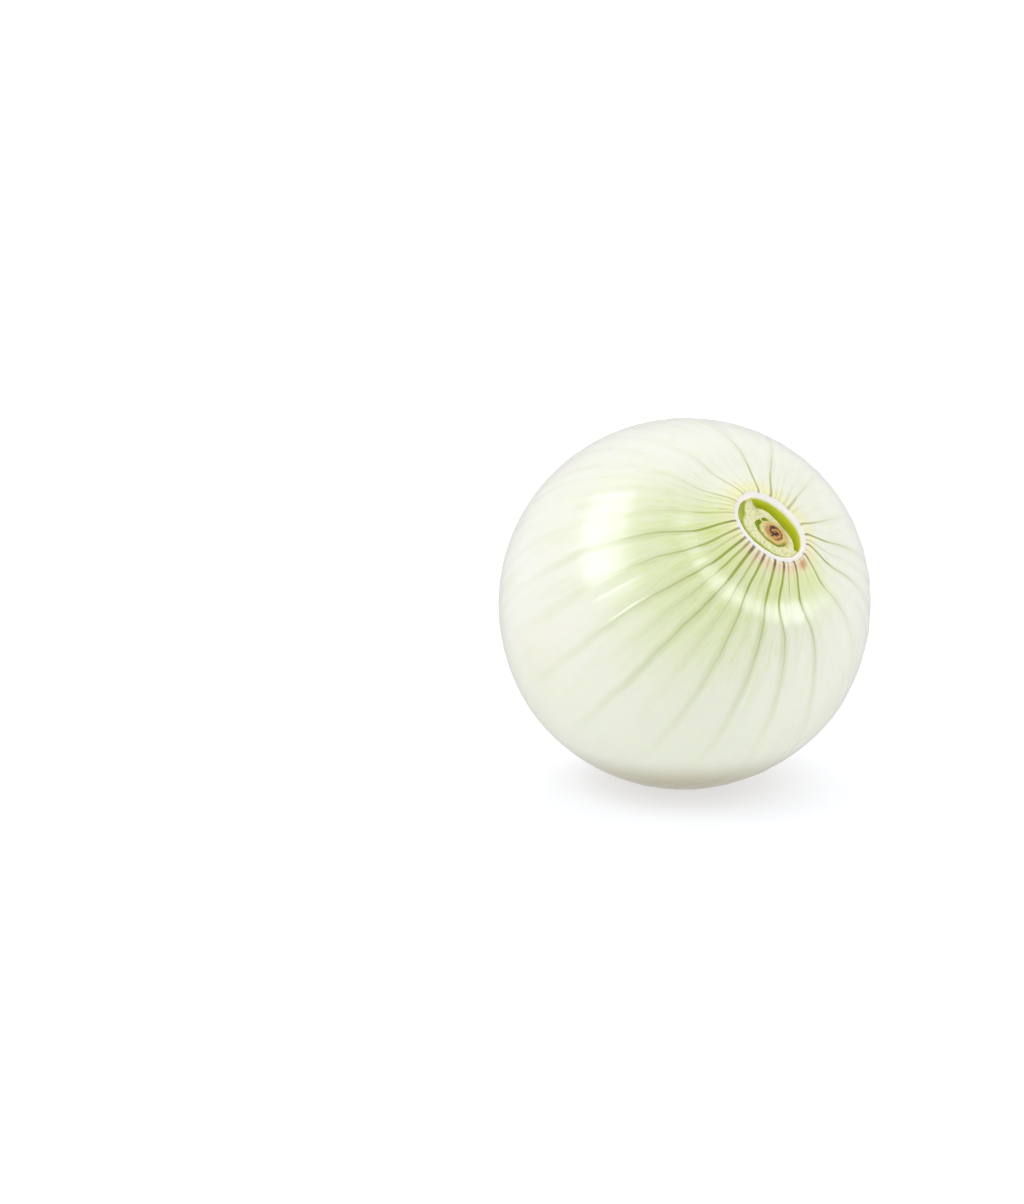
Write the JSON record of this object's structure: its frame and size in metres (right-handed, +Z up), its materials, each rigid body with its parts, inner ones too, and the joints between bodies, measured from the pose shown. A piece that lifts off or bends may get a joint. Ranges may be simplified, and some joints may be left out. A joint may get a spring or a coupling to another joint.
{
  "type": "peeled onion",
  "caption": "Whole peeled white onion with a cut oval neck showing its leaf bases and a trimmed root face, lying on its side on a small flat spot.",
  "frame": {"origin": "centre of the small flat spot on the bulb's side that the onion rests on", "axes": "+Z up from the surface the onion lies on; the cut neck leans forward from upright towards -Y, and the root face points back and down towards +Y"},
  "size_m": [0.0799, 0.08, 0.0782],
  "materials": {
    "onion_flesh": "moist satin gloss, slightly translucent, green veins running down from the neck"
  },
  "bodies": {
    "root": {"bulb": "onion_flesh"}
  },
  "joints": []
}
